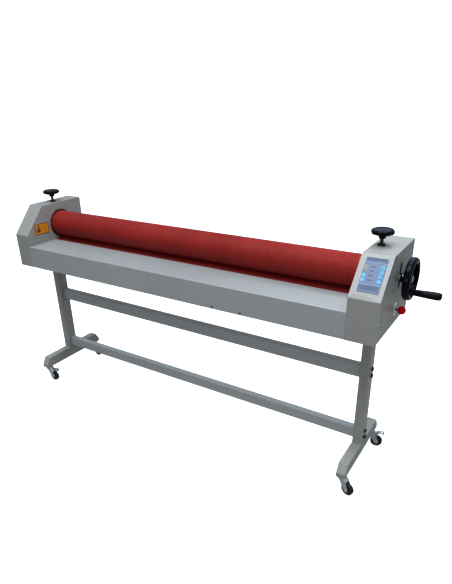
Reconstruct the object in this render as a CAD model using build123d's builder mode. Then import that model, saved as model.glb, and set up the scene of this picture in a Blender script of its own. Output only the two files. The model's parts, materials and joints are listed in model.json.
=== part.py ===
"""Cold roll laminator on a wheeled stand.

Frame: +Z up, +X towards the crank end, +Y towards the back. The origin lies on the floor
at the centre of the machine's overall box. Millimetres throughout.
"""
from build123d import *
from dataclasses import dataclass
from math import atan2, cos, degrees, hypot, radians, sin
import os

os.makedirs("parts", exist_ok=True)

# ---- overall sizes ---------------------------------------------------------------------------
working_width = 1600.0
left_width = 87.0
right_width = 108.0
grip_reach = 140.0
left_inner_x = left_width - (left_width + working_width + right_width + grip_reach) / 2
right_inner_x = left_inner_x + working_width
half_depth = 193.0

# ---- cabinet profile, seen from the end ------------------------------------------------------
front_y = -168.0
rear_y = half_depth
bottom_z = 646.0
slope_foot_z = 802.0
slope_head_y = -56.0
top_z = 925.0
sheet = 1.5
bend = 3.0

# ---- rollers ---------------------------------------------------------------------------------
roller_y = 48.0
upper_z = 822.0
upper_r = 61.0
upper_core_r = 50.0
lower_z = 705.0
lower_r = 52.0
lower_core_r = 44.0
core_wall = 6.0
core_end = 14.0
roller_overlap = 8.0
sleeve_fit = 0.02
journal_r = 12.47
wheel_shaft_r = 9.97
bearing_r = 25.98
bearing_bore_r = 12.5
housing_r = 26.0

# ---- frame plates, tables and ties -----------------------------------------------------------
plate = 10.0
foot_plate_top = 652.0
guide_width = 60.0
guide_floor_z = 770.0
plate_top_z = 905.0
table_z = 748.6
table_edge = 53.0
table_gap = 1.0
table_bend = 2.2
end_flange = 16.0
tie = 40.0
tie_wall = 3.0
tie_z = 690.0
front_tie_y = -125.0
rear_tie_y = 135.0

# ---- pressure adjusters ----------------------------------------------------------------------
screw_r = 6.0
screw_bore_r = 6.05
block_height = 80.0
block_depth = 26.0
bridge_height = 16.0
collar_r = 14.25
collar_height = 6.5
knob_r = 40.5
knob_hub_r = 12.6
knob_hub_z = 950.0
knob_top_z = 982.5
knob_disc = 18.5
knob_engagement = 14.0
knob_lobes = 8
knob_lobe_r = 15.5

# ---- crank handwheel -------------------------------------------------------------------------
wheel_r = 75.0
wheel_inner_r = 54.5
wheel_near = 130.0
wheel_far = 156.0
spoke_width = 16.0
hub_r = 17.5
hub_near = 110.0
hub_far = 150.0
grip_radius = 60.0
grip_angle = -68.0
grip_near = 158.0
grip_r = 14.4
grip_neck_r = 11.6
grip_far = right_width + grip_reach

# ---- drive: gears, motor and clutch ----------------------------------------------------------
gear_module = 2.0
roller_teeth = 36
idler_teeth = 30
pinion_teeth = 16
idler_at = (-17.5, 697.0)
pinion_at = (-63.5, 697.0)
gear_near = 40.0
gear_width = 14.0
lever_y = 35.5
lever_z = 706.0
pivot_depth = 66.0
pivot_z = 752.0
motor_flange = 62.0
motor_gearbox_r = 30.0
motor_gearbox_length = 45.0
motor_body_r = 26.0
motor_body_length = 82.0
lever_arm_depth = 88.0
lever_arm_width = 8.0
lever_arm_foot = 701.0
lever_sheet = 4.0
ball_r = 15.0
ball_depth = 130.0

# ---- control panel ---------------------------------------------------------------------------
panel_x = 776.0
panel_width = 73.0
panel_length = 126.0
panel_rise = 90.0
key_column = 26.0
key_rows = (29.5, 13.0, -3.5, -20.0)
display_at = (-28.5, 26.0)
display_size = (13.0, 25.0)

# ---- stand -----------------------------------------------------------------------------------
leg_width = 36.0
post_depth = 56.0
tube_wall = 2.5
foot_z = 80.0
foot_top_z = 133.0
foot_nose_z = 99.0
foot_nose_run = 22.0
crossbar_y = 7.0
crossbar_depth = 30.0
crossbar_end = 6.0
upper_bar = (421.0, 475.0)
lower_bar = (142.0, 188.0)
bar_bolt_offset = 14.5

# ---- casters ---------------------------------------------------------------------------------
caster_y = 168.0
caster_r = 25.0
caster_tread = 18.0
caster_trail = 28.0
axle_r = 4.0


@dataclass(frozen=True)
class Side:
    """One end of the machine. Depths run outward from the cabinet's inner face."""

    name: str
    outward: int
    inner_x: float
    width: float
    screw_depth: float
    leg_depth: float
    leg_bolt_depth: float
    journal_end: float

    def x(self, depth):
        return self.inner_x + self.outward * depth

    def plane(self, depth):
        return Plane.YZ.offset(self.x(depth))

    def span(self, near, far):
        """Centre and length of a stretch between two depths."""
        return self.x((near + far) / 2), far - near


left = Side("left", -1, left_inner_x, left_width, 39.0, 3.0, 18.0, 56.0)
right = Side("right", 1, right_inner_x, right_width, 30.5, 24.0, 46.0, 80.0)
sides = (left, right)


def save(piece, name):
    """Label a finished piece and write it as its own file."""
    piece.part.label = name
    export_step(piece.part, f"parts/{name}.step")


def out(side, length):
    """Signed extrusion length that runs outward on the given side."""
    return side.outward * length


# ---- cabinets --------------------------------------------------------------------------------
with BuildSketch() as cabinet_outline:
    with BuildLine():
        Polyline(
            (front_y, bottom_z),
            (front_y, slope_foot_z),
            (slope_head_y, top_z),
            (rear_y, top_z),
            (rear_y, bottom_z),
            close=True,
        )
    make_face()
    fillet(cabinet_outline.vertices().sort_by(Axis.Y)[-3:], bend)

cover_screws_at = [
    (front_y + 8, 723),
    (-13, top_z - 8),
    (149, top_z - 8),
    (rear_y - 8, 860),
    (rear_y - 8, 700),
]

slope_run = slope_head_y - front_y
slope_climb = top_z - slope_foot_z
slope_length = hypot(slope_run, slope_climb)
panel_plane = Plane(
    origin=(
        panel_x,
        front_y + panel_rise * slope_run / slope_length,
        slope_foot_z + panel_rise * slope_climb / slope_length,
    ),
    x_dir=(1, 0, 0),
    z_dir=(0, -slope_climb, slope_run),
)
panel_tray = (panel_width - 2, panel_length - 8)


def cabinet_shell(side):
    """Folded sheet: inner wall, front, slope, top and rear, open outward and below."""
    with BuildPart() as shell:
        with BuildSketch(side.plane(0)):
            add(cabinet_outline.sketch)
        extrude(amount=out(side, side.width))
        with BuildSketch(side.plane(sheet)):
            add(cabinet_outline.sketch)
            offset(amount=-sheet, mode=Mode.REPLACE)
            with Locations(((front_y + rear_y) / 2, bottom_z)):
                Rectangle(rear_y - front_y - 2 * sheet, 4 * sheet)
        extrude(amount=out(side, side.width), mode=Mode.SUBTRACT)
        with BuildSketch(side.plane(side.width - 3 * sheet)):
            with Locations(*cover_screws_at):
                Rectangle(16, 16)
            with BuildSketch(mode=Mode.INTERSECT):
                add(cabinet_outline.sketch)
        extrude(amount=out(side, sheet))
        with BuildSketch(side.plane(side.width - 3 * sheet)):
            with Locations(*cover_screws_at):
                Circle(2)
        extrude(amount=out(side, sheet), mode=Mode.SUBTRACT)
        with BuildSketch(side.plane(0)):
            with Locations((roller_y, upper_z)):
                Circle(upper_r + 8)
            with Locations((roller_y, lower_z)):
                Circle(lower_r + 4)
            with Locations((front_tie_y, tie_z), (rear_tie_y, tie_z)):
                Rectangle(tie + 4, tie + 4)
            if side is right:
                with Locations(pinion_at):
                    Circle(36)
        extrude(amount=out(side, sheet), mode=Mode.SUBTRACT)
        with BuildSketch(Plane.XY.offset(top_z)):
            with Locations((side.x(side.screw_depth), roller_y)):
                Circle(7)
        extrude(amount=-sheet, mode=Mode.SUBTRACT)
        if side is right:
            with BuildSketch(panel_plane):
                Rectangle(panel_tray[0] + 1, panel_tray[1] + 1)
            extrude(amount=-2 * sheet, mode=Mode.SUBTRACT)
    return shell


def end_cover(side):
    """Flat outer panel that sits just inside the folded sheet's edge."""
    with BuildPart() as cover:
        with BuildSketch(side.plane(side.width - 2 * sheet)):
            add(cabinet_outline.sketch)
            offset(amount=-sheet - 0.5, mode=Mode.REPLACE)
            with Locations(*cover_screws_at):
                Circle(2.2, mode=Mode.SUBTRACT)
            if side is right:
                with Locations((roller_y, upper_z + 4)):
                    SlotOverall(98, 28, rotation=90, mode=Mode.SUBTRACT)
                with Locations((lever_y, lever_z - 1)):
                    Rectangle(14, 36, mode=Mode.SUBTRACT)
                with Locations((lever_y, lever_z + 19), (lever_y, lever_z - 21)):
                    Circle(1.5, mode=Mode.SUBTRACT)
        extrude(amount=out(side, sheet))
    return cover


for side in sides:
    save(cabinet_shell(side), f"{side.name}_cabinet_shell")
    save(end_cover(side), f"{side.name}_end_cover")

with BuildPart() as lever_plate:
    with BuildSketch(right.plane(right.width - sheet)):
        with Locations((lever_y, lever_z - 1)):
            RectangleRounded(23, 47, 2)
            SlotOverall(30, 9, rotation=90, mode=Mode.SUBTRACT)
        with Locations((lever_y, lever_z + 19), (lever_y, lever_z - 21)):
            Circle(1.5, mode=Mode.SUBTRACT)
    extrude(amount=sheet)
save(lever_plate, "lever_plate")


def pan_screws(plane, places, shank_r, head_r, head_height, length):
    """Pan-head screws standing on a plane, their shanks running back below it."""
    with BuildPart() as screws:
        with BuildSketch(plane):
            with Locations(*places):
                Circle(head_r)
        extrude(amount=head_height)
        with BuildSketch(plane):
            with Locations(*places):
                Circle(shank_r)
        extrude(amount=-length)
    return screws


apron_screws_at = [(182, 656), (310, 656)]
apron_face = Plane(origin=(0, front_y, 0), x_dir=(1, 0, 0), z_dir=(0, -1, 0))
left_face = Plane(origin=(left.x(left_width - sheet), 0, 0), x_dir=(0, 1, 0), z_dir=(-1, 0, 0))
left_places = [(y, -z) for y, z in cover_screws_at]
lever_screws_at = [(lever_y, lever_z + 19), (lever_y, lever_z - 21)]
screw_sets = (
    pan_screws(right.plane(right_width - sheet), cover_screws_at, 1.98, 4, 1.4, 9),
    pan_screws(left_face, left_places, 1.98, 4, 1.4, 9),
    pan_screws(right.plane(right_width), lever_screws_at, 1.48, 2.6, 1.0, 4),
    pan_screws(apron_face, apron_screws_at, 1.98, 4, 1.4, 8),
)
with BuildPart() as cover_screws:
    for screw_set in screw_sets:
        add(screw_set.part)
save(cover_screws, "cover_screws")


# ---- side frames -----------------------------------------------------------------------------
def lever_bracket(side, root_depth):
    """Two ears that carry the clutch lever's pivot pin, welded to the bearing plate."""
    base_x, base_length = side.span(root_depth, root_depth + 3)
    ear_x, ear_length = side.span(root_depth, pivot_depth + 8)
    with BuildPart() as ears:
        with BuildSketch(Plane.XY.offset(pivot_z - 7)):
            with Locations((base_x, 40.5)):
                Rectangle(base_length, 33)
            with Locations((ear_x, 25.5), (ear_x, 55.5)):
                Rectangle(ear_length, 3)
        extrude(amount=14)
        with BuildSketch(Plane.XZ.offset(-20)):
            with Locations((side.x(pivot_depth), pivot_z)):
                Circle(3)
        extrude(amount=-40, mode=Mode.SUBTRACT)
    return ears


def side_frame(side):
    """Bearing plate with the bearing block's guide slot, welded to a foot plate."""
    near = side.screw_depth - plate / 2
    centre_x, foot_length = side.span(6, side.width - 6)
    bracket = lever_bracket(right, near + plate)
    with BuildPart() as frame:
        with BuildSketch(side.plane(near)):
            with BuildLine():
                Polyline(
                    (-150, foot_plate_top),
                    (-150, 790),
                    (-45, plate_top_z),
                    (175, plate_top_z),
                    (175, foot_plate_top),
                    close=True,
                )
            make_face()
            with Locations((roller_y, (guide_floor_z + plate_top_z) / 2)):
                Rectangle(guide_width, plate_top_z - guide_floor_z, mode=Mode.SUBTRACT)
            with Locations((roller_y, lower_z)):
                Circle(housing_r, mode=Mode.SUBTRACT)
            with Locations((front_tie_y, tie_z), (rear_tie_y, tie_z)):
                Circle(5, mode=Mode.SUBTRACT)
            if side is right:
                with Locations(idler_at):
                    Circle(6, mode=Mode.SUBTRACT)
                with Locations(pinion_at):
                    Circle(10, mode=Mode.SUBTRACT)
        extrude(amount=out(side, plate))
        with BuildSketch(Plane.XY.offset(bottom_z)):
            with Locations((centre_x, 10)):
                Rectangle(foot_length, 280)
            with Locations((side.x(side.leg_bolt_depth), 0)):
                with GridLocations(0, 36, 1, 2):
                    Circle(4, mode=Mode.SUBTRACT)
        extrude(amount=foot_plate_top - bottom_z)
        with BuildSketch(Plane.XY.offset(plate_top_z)):
            with Locations((side.x(side.screw_depth), roller_y)):
                with GridLocations(0, 90, 1, 2):
                    Circle(3)
        extrude(amount=-14, mode=Mode.SUBTRACT)
        if side is right:
            add(bracket.part)
    return frame


for side in sides:
    save(side_frame(side), f"{side.name}_side_frame")

with BuildPart() as screw_bridges:
    for side in sides:
        with BuildSketch(Plane.XY.offset(plate_top_z)):
            with Locations((side.x(side.screw_depth), roller_y)):
                Rectangle(24, 112)
                Circle(screw_bore_r, mode=Mode.SUBTRACT)
                with GridLocations(0, 90, 1, 2):
                    Circle(3.2, mode=Mode.SUBTRACT)
        extrude(amount=bridge_height)
        with BuildSketch(Plane.XY.offset(plate_top_z + bridge_height)):
            with Locations((side.x(side.screw_depth), roller_y)):
                with GridLocations(0, 90, 1, 2):
                    Circle(5.3)
        extrude(amount=-6.5, mode=Mode.SUBTRACT)
save(screw_bridges, "screw_bridges")

with BuildPart() as tie_beams:
    near_left = left.x(left.screw_depth - plate / 2)
    near_right = right.x(right.screw_depth - plate / 2)
    with BuildSketch(Plane.YZ.offset(near_left)):
        with Locations((front_tie_y, tie_z), (rear_tie_y, tie_z)):
            Rectangle(tie, tie)
    extrude(amount=near_right - near_left)
    with BuildSketch(Plane.YZ.offset(near_left + tie_wall * 2)):
        with Locations((front_tie_y, tie_z), (rear_tie_y, tie_z)):
            Rectangle(tie - 2 * tie_wall, tie - 2 * tie_wall)
    extrude(amount=near_right - near_left - 4 * tie_wall, mode=Mode.SUBTRACT)
    with BuildSketch(Plane.YZ.offset(near_left)):
        with Locations((front_tie_y, tie_z), (rear_tie_y, tie_z)):
            Circle(5)
    extrude(amount=near_right - near_left, mode=Mode.SUBTRACT)
save(tie_beams, "tie_beams")

with BuildPart() as frame_bolts:
    for side in sides:
        outer = side.screw_depth + plate / 2
        for y in (front_tie_y, rear_tie_y):
            with BuildSketch(side.plane(outer)):
                with Locations((y, tie_z)):
                    RegularPolygon(9.5, 6)
            extrude(amount=out(side, 7))
            with BuildSketch(side.plane(outer - plate - 8)):
                with Locations((y, tie_z)):
                    Circle(4.98)
            extrude(amount=out(side, plate + 8))
        with BuildSketch(Plane.XY.offset(foot_plate_top)):
            with Locations((side.x(side.leg_bolt_depth), 0)):
                with GridLocations(0, 36, 1, 2):
                    Circle(6.5)
        extrude(amount=8)
        with BuildSketch(Plane.XY.offset(foot_plate_top - 12)):
            with Locations((side.x(side.leg_bolt_depth), 0)):
                with GridLocations(0, 36, 1, 2):
                    Circle(3.98)
        extrude(amount=12)
        with BuildSketch(Plane.XY.offset(plate_top_z + bridge_height - 6.5)):
            with Locations((side.x(side.screw_depth), roller_y)):
                with GridLocations(0, 90, 1, 2):
                    Circle(5)
        extrude(amount=6)
        with BuildSketch(Plane.XY.offset(plate_top_z - 12)):
            with Locations((side.x(side.screw_depth), roller_y)):
                with GridLocations(0, 90, 1, 2):
                    Circle(2.98)
        extrude(amount=bridge_height + 6)
save(frame_bolts, "frame_bolts")


# ---- tables ----------------------------------------------------------------------------------
def table(apron_y, edge_y, inward):
    """Bent sheet: apron, flat top, turned-down lip, bottom flange and folded end flanges."""
    with BuildPart() as bent:
        with BuildSketch(Plane.YZ.offset(left_inner_x + table_gap)):
            with BuildLine():
                Polyline(
                    (apron_y + inward * 18, bottom_z),
                    (apron_y, bottom_z),
                    (apron_y, table_z),
                    (edge_y, table_z),
                    (edge_y, table_z - 11),
                    (edge_y - inward * sheet, table_z - 11),
                    (edge_y - inward * sheet, table_z - sheet),
                    (apron_y + inward * sheet, table_z - sheet),
                    (apron_y + inward * sheet, bottom_z + sheet),
                    (apron_y + inward * 18, bottom_z + sheet),
                    close=True,
                )
            make_face()
        extrude(amount=working_width - 2 * table_gap)
        bends = bent.edges().filter_by(Axis.X).filter_by(
            lambda e: abs(e.center().Z - table_z) < 0.01 or abs(e.center().Z - bottom_z) < 0.01
        )
        corners = bends.filter_by(lambda e: abs(e.center().Y - (apron_y + inward * 18)) > 1)
        fillet(corners, table_bend)
        for end in (left_inner_x + table_gap, right_inner_x - table_gap - sheet):
            with BuildSketch(Plane.YZ.offset(end)):
                with Locations((apron_y + inward * (end_flange + sheet) / 2, (bottom_z + table_z) / 2)):
                    Rectangle(end_flange - sheet, table_z - bottom_z - sheet)
            extrude(amount=sheet)
        if inward > 0:
            with BuildSketch(apron_face):
                with Locations(*apron_screws_at):
                    Circle(2)
            extrude(amount=-sheet, mode=Mode.SUBTRACT)
    return bent


save(table(front_y, roller_y - table_edge, 1), "feed_table")
save(table(rear_y, roller_y + table_edge, -1), "exit_table")


# ---- rollers ---------------------------------------------------------------------------------
def roller_core(axis_z, core_r, left_end, right_end, crank_end=0):
    """Steel tube with welded end discs and journals, vented through its left disc."""
    start = left.x(roller_overlap)
    length = working_width + 2 * roller_overlap
    with BuildPart() as core:
        with BuildSketch(Plane.YZ.offset(start)):
            with Locations((roller_y, axis_z)):
                Circle(core_r)
        extrude(amount=length)
        with BuildSketch(Plane.YZ.offset(start + core_end)):
            with Locations((roller_y, axis_z)):
                Circle(core_r - core_wall)
        extrude(amount=length - 2 * core_end, mode=Mode.SUBTRACT)
        with BuildSketch(Plane.YZ.offset(left.x(left_end))):
            with Locations((roller_y, axis_z)):
                Circle(journal_r)
        extrude(amount=left_end - roller_overlap)
        with BuildSketch(Plane.YZ.offset(right.x(roller_overlap))):
            with Locations((roller_y, axis_z)):
                Circle(journal_r)
        extrude(amount=right_end - roller_overlap)
        with BuildSketch(Plane.YZ.offset(start)):
            with Locations((roller_y, axis_z + 0.65 * core_r)):
                Circle(3)
        extrude(amount=core_end, mode=Mode.SUBTRACT)
        if crank_end:
            with BuildSketch(Plane.YZ.offset(right.x(right_end))):
                with Locations((roller_y, axis_z)):
                    Circle(wheel_shaft_r)
            extrude(amount=crank_end - right_end)
    return core


def roller_rubber(axis_z, core_r, outer_r):
    """Rubber cover over the full length of the core."""
    with BuildPart() as cover:
        with BuildSketch(Plane.YZ.offset(left.x(roller_overlap))):
            with Locations((roller_y, axis_z)):
                Circle(outer_r)
                Circle(core_r + sleeve_fit, mode=Mode.SUBTRACT)
        extrude(amount=working_width + 2 * roller_overlap)
        fillet(cover.edges().filter_by(GeomType.CIRCLE).sort_by(SortBy.RADIUS)[-2:], 1.5)
    return cover


upper_core = roller_core(upper_z, upper_core_r, left.journal_end, 50, crank_end=hub_far)
save(upper_core, "upper_roller_core")
save(roller_rubber(upper_z, upper_core_r, upper_r), "upper_roller_rubber")
save(
    roller_core(lower_z, lower_core_r, left.journal_end, right.journal_end),
    "lower_roller_core",
)
save(roller_rubber(lower_z, lower_core_r, lower_r), "lower_roller_rubber")


# ---- bearings and the sliding blocks ---------------------------------------------------------
with BuildPart() as lower_bearings:
    for side in sides:
        near = side.screw_depth - plate / 2
        with BuildSketch(side.plane(near)):
            with Locations((roller_y, lower_z)):
                Circle(bearing_r)
        extrude(amount=out(side, plate))
        with BuildSketch(side.plane(near - 4)):
            with Locations((roller_y, lower_z)):
                Circle(31)
        extrude(amount=out(side, 4))
        with BuildSketch(side.plane(near - 4)):
            with Locations((roller_y, lower_z)):
                Circle(bearing_bore_r)
        extrude(amount=out(side, plate + 4), mode=Mode.SUBTRACT)
save(lower_bearings, "lower_bearings")

block_top_z = upper_z + block_height / 2
screw_head_z = block_top_z - 12
screw_neck_z = block_top_z - 6
with BuildPart() as bearing_blocks:
    for side in sides:
        centre_x = side.x(side.screw_depth)
        mouth_x = side.x(side.screw_depth + block_depth / 4)
        with BuildSketch(Plane.XY.offset(upper_z - block_height / 2)):
            with Locations((centre_x, roller_y)):
                Rectangle(block_depth, guide_width + 16)
                with GridLocations(0, guide_width + 8 - 0.05, 1, 2):
                    Rectangle(plate + 0.1, 8.05, mode=Mode.SUBTRACT)
        extrude(amount=block_height)
        with BuildSketch(side.plane(side.screw_depth - block_depth / 2)):
            with Locations((roller_y, upper_z)):
                Circle(housing_r)
        extrude(amount=out(side, block_depth), mode=Mode.SUBTRACT)
        with BuildSketch(Plane.XY.offset(screw_head_z - 0.1)):
            with Locations((centre_x, roller_y)):
                Circle(7.2)
            with Locations((mouth_x, roller_y)):
                Rectangle(block_depth / 2, 14.4)
        extrude(amount=screw_neck_z - screw_head_z + 0.2, mode=Mode.SUBTRACT)
        with BuildSketch(Plane.XY.offset(screw_neck_z)):
            with Locations((centre_x, roller_y)):
                Circle(4.1)
            with Locations((mouth_x, roller_y)):
                Rectangle(block_depth / 2, 8.2)
        extrude(amount=block_top_z - screw_neck_z, mode=Mode.SUBTRACT)
save(bearing_blocks, "bearing_blocks")

with BuildPart() as upper_bearings:
    for side in sides:
        with BuildSketch(side.plane(side.screw_depth - 7.5)):
            with Locations((roller_y, upper_z)):
                Circle(bearing_r)
                Circle(bearing_bore_r, mode=Mode.SUBTRACT)
        extrude(amount=out(side, 15))
save(upper_bearings, "upper_bearings")


# ---- pressure screws, knobs and collars ------------------------------------------------------
def pressure_screw(x):
    """Captive button below, threaded shank above, up into the knob."""
    with BuildPart() as screw:
        with BuildSketch(Plane.XY.offset(screw_head_z)):
            with Locations((x, roller_y)):
                Circle(7)
        extrude(amount=6)
        with BuildSketch(Plane.XY.offset(screw_neck_z)):
            with Locations((x, roller_y)):
                Circle(4)
        extrude(amount=10)
        with BuildSketch(Plane.XY.offset(screw_neck_z + 10)):
            with Locations((x, roller_y)):
                Circle(screw_r)
        extrude(amount=knob_top_z - knob_engagement - (screw_neck_z + 10))
    return screw


def pressure_knob(x):
    """Lobed hand knob: a thin dished disc on a tapered hub."""
    with BuildPart() as knob:
        section = Plane(origin=(x, roller_y, 0), x_dir=(1, 0, 0), z_dir=(0, -1, 0))
        with BuildSketch(section):
            with BuildLine():
                Polyline(
                    (0, knob_hub_z),
                    (knob_hub_r - 1, knob_hub_z),
                    (knob_hub_r, knob_hub_z + 4),
                    (knob_hub_r + 1.4, knob_top_z - knob_disc - 4),
                    (knob_r - 9, knob_top_z - knob_disc),
                    (knob_r, knob_top_z - knob_disc + 4),
                    (knob_r, knob_top_z - 5),
                    (knob_r - 6, knob_top_z),
                    (knob_r - 13, knob_top_z - 3),
                    (0, knob_top_z - 5),
                    close=True,
                )
            make_face()
        revolve(axis=Axis((x, roller_y, 0), (0, 0, 1)))
        with BuildSketch(Plane.XY.offset(knob_top_z - knob_disc)):
            with Locations((x, roller_y)):
                with PolarLocations(knob_r + knob_lobe_r - 2.5, knob_lobes):
                    Circle(knob_lobe_r)
        extrude(amount=knob_disc, mode=Mode.SUBTRACT)
        with BuildSketch(Plane.XY.offset(knob_hub_z)):
            with Locations((x, roller_y)):
                Circle(screw_r)
        extrude(amount=knob_top_z - knob_engagement - knob_hub_z, mode=Mode.SUBTRACT)
    return knob


for side in sides:
    adjuster_x = side.x(side.screw_depth)
    save(pressure_screw(adjuster_x), f"{side.name}_pressure_screw")
    save(pressure_knob(adjuster_x), f"{side.name}_pressure_knob")

with BuildPart() as adjuster_collars:
    for side in sides:
        with BuildSketch(Plane.XY.offset(top_z)):
            with Locations((side.x(side.screw_depth), roller_y)):
                Circle(collar_r)
        extrude(amount=collar_height, taper=6)
        with BuildSketch(Plane.XY.offset(top_z)):
            with Locations((side.x(side.screw_depth), roller_y)):
                Circle(screw_bore_r)
        extrude(amount=collar_height, mode=Mode.SUBTRACT)
save(adjuster_collars, "adjuster_collars")

# ---- handwheel and crank grip ----------------------------------------------------------------
wheel_axis = Axis((0, roller_y, upper_z), (1, 0, 0))
grip_y = roller_y + grip_radius * cos(radians(grip_angle))
grip_z = upper_z + grip_radius * sin(radians(grip_angle))
with BuildPart() as handwheel:
    rim_x, rim_width = right.span(wheel_near, wheel_far)
    with BuildSketch(Plane.XY.offset(upper_z)):
        with Locations((rim_x, roller_y + (wheel_r + wheel_inner_r) / 2)):
            RectangleRounded(rim_width, wheel_r - wheel_inner_r, 8)
    revolve(axis=wheel_axis)
    with BuildSketch(right.plane(hub_near)):
        with Locations((roller_y, upper_z)):
            Circle(hub_r)
    extrude(amount=hub_far - hub_near)
    with BuildSketch(right.plane(wheel_near + 6)):
        with Locations((roller_y, upper_z)):
            with PolarLocations((hub_r + wheel_inner_r) / 2, 3, start_angle=grip_angle):
                Rectangle(wheel_inner_r - hub_r + 12, spoke_width)
    extrude(amount=10)
    with BuildSketch(right.plane(wheel_near + 6)):
        with Locations((grip_y, grip_z)):
            Circle(11)
    extrude(amount=grip_near - 1 - wheel_near - 6)
    with BuildSketch(right.plane(wheel_near + 6)):
        with Locations((grip_y, grip_z)):
            Circle(4)
    extrude(amount=grip_near - wheel_near, mode=Mode.SUBTRACT)
    with BuildSketch(right.plane(hub_near)):
        with Locations((roller_y, upper_z)):
            Circle(10)
    extrude(amount=hub_far - hub_near, mode=Mode.SUBTRACT)
    grub_plane = Plane(
        origin=(right.x(hub_near + 9), roller_y, upper_z),
        x_dir=(1, 0, 0),
        z_dir=(0, -1, 1),
    )
    with BuildSketch(grub_plane):
        Circle(3)
    extrude(amount=hub_r + 1, mode=Mode.SUBTRACT)
save(handwheel, "handwheel")

with BuildPart() as grub_screw:
    with BuildSketch(grub_plane.offset(wheel_shaft_r + 0.05)):
        Circle(3)
    extrude(amount=hub_r - wheel_shaft_r)
    with BuildSketch(grub_plane.offset(hub_r + 0.05)):
        RegularPolygon(1.7, 6)
    extrude(amount=-2.5, mode=Mode.SUBTRACT)
save(grub_screw, "grub_screw")

with BuildPart() as crank_grip:
    section = Plane(origin=(0, grip_y, grip_z), x_dir=(1, 0, 0), z_dir=(0, 0, 1))
    with BuildSketch(section):
        with BuildLine():
            Polyline((right.x(grip_far), 4), (right.x(grip_far), grip_r - 5))
            RadiusArc((right.x(grip_far), grip_r - 5), (right.x(grip_far - 5), grip_r), -5)
            Spline(
                (right.x(grip_far - 5), grip_r),
                (right.x(grip_near + 48), grip_r - 1.4),
                (right.x(grip_near), grip_neck_r),
            )
            Polyline((right.x(grip_near), grip_neck_r), (right.x(grip_near), 4))
            Line((right.x(grip_near), 4), (right.x(grip_far), 4))
        make_face()
    revolve(axis=Axis((0, grip_y, grip_z), (1, 0, 0)))
    with BuildSketch(right.plane(grip_near)):
        with Locations((grip_y, grip_z)):
            Circle(4.05)
    extrude(amount=grip_far - grip_near, mode=Mode.SUBTRACT)
    with BuildSketch(right.plane(grip_far - 9)):
        with Locations((grip_y, grip_z)):
            Circle(7)
    extrude(amount=9, mode=Mode.SUBTRACT)
save(crank_grip, "crank_grip")

with BuildPart() as grip_bolt:
    with BuildSketch(right.plane(wheel_near + 7)):
        with Locations((grip_y, grip_z)):
            Circle(3.98)
    extrude(amount=grip_far - 8.9 - wheel_near - 7)
    with BuildSketch(right.plane(grip_far - 8.9)):
        with Locations((grip_y, grip_z)):
            Circle(6.5)
            RegularPolygon(3.2, 6, mode=Mode.SUBTRACT)
    extrude(amount=5)
save(grip_bolt, "grip_bolt")


# ---- drive gears, motor and clutch -----------------------------------------------------------
def gear_face(teeth, bore_r, turn):
    """Spur gear drawn at the origin; its first tooth points along the given angle."""
    pitch_r = gear_module * teeth / 2
    half_tooth = gear_module * 0.785 - 0.12
    with BuildSketch() as face:
        Circle(pitch_r - 1.2 * gear_module)
        with PolarLocations(0, teeth, start_angle=turn):
            with BuildLine():
                Polyline(
                    (pitch_r - 1.5 * gear_module, half_tooth * 1.5),
                    (pitch_r, half_tooth),
                    (pitch_r + 0.85 * gear_module, half_tooth * 0.55),
                    (pitch_r + 0.85 * gear_module, -half_tooth * 0.55),
                    (pitch_r, -half_tooth),
                    (pitch_r - 1.5 * gear_module, -half_tooth * 1.5),
                    close=True,
                )
            make_face()
        Circle(bore_r, mode=Mode.SUBTRACT)
    return face.sketch


to_idler = degrees(atan2(idler_at[1] - lower_z, idler_at[0] - roller_y))
idler_turn = to_idler + 180 + 180 / idler_teeth
tooth_angle = 360 / idler_teeth
lead = (idler_turn - 180 + tooth_angle / 2) % tooth_angle - tooth_angle / 2
pinion_turn = -lead * idler_teeth / pinion_teeth + 180 / pinion_teeth
clutch_mouth_r = 19.0
clutch_throat_r = 15.0
clutch_depth = 6.0

with BuildPart() as roller_gear:
    with BuildSketch(right.plane(gear_near)):
        with Locations((roller_y, lower_z)):
            add(gear_face(roller_teeth, 12.55, to_idler))
    extrude(amount=gear_width)
    section = Plane(origin=(0, roller_y, lower_z), x_dir=(1, 0, 0), z_dir=(0, 0, 1))
    with BuildSketch(section):
        mouth_x = right.x(gear_near + gear_width)
        with BuildLine():
            Polyline(
                (mouth_x - clutch_depth, 0),
                (mouth_x - clutch_depth, clutch_throat_r),
                (mouth_x, clutch_mouth_r),
                (mouth_x, 0),
                close=True,
            )
        make_face()
    revolve(axis=Axis((0, roller_y, lower_z), (1, 0, 0)), mode=Mode.SUBTRACT)
save(roller_gear, "roller_gear")

with BuildPart() as idler_gear:
    with BuildSketch(right.plane(gear_near)):
        with Locations(idler_at):
            add(gear_face(idler_teeth, 6.06, idler_turn))
    extrude(amount=gear_width)
save(idler_gear, "idler_gear")

with BuildPart() as motor_pinion:
    with BuildSketch(right.plane(gear_near)):
        with Locations(pinion_at):
            add(gear_face(pinion_teeth, 1, pinion_turn))
    extrude(amount=gear_width)
    with BuildSketch(right.plane(8)):
        with Locations(pinion_at):
            Circle(5)
    extrude(amount=gear_near + gear_width + 2 - 8)
save(motor_pinion, "motor_pinion")

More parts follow.
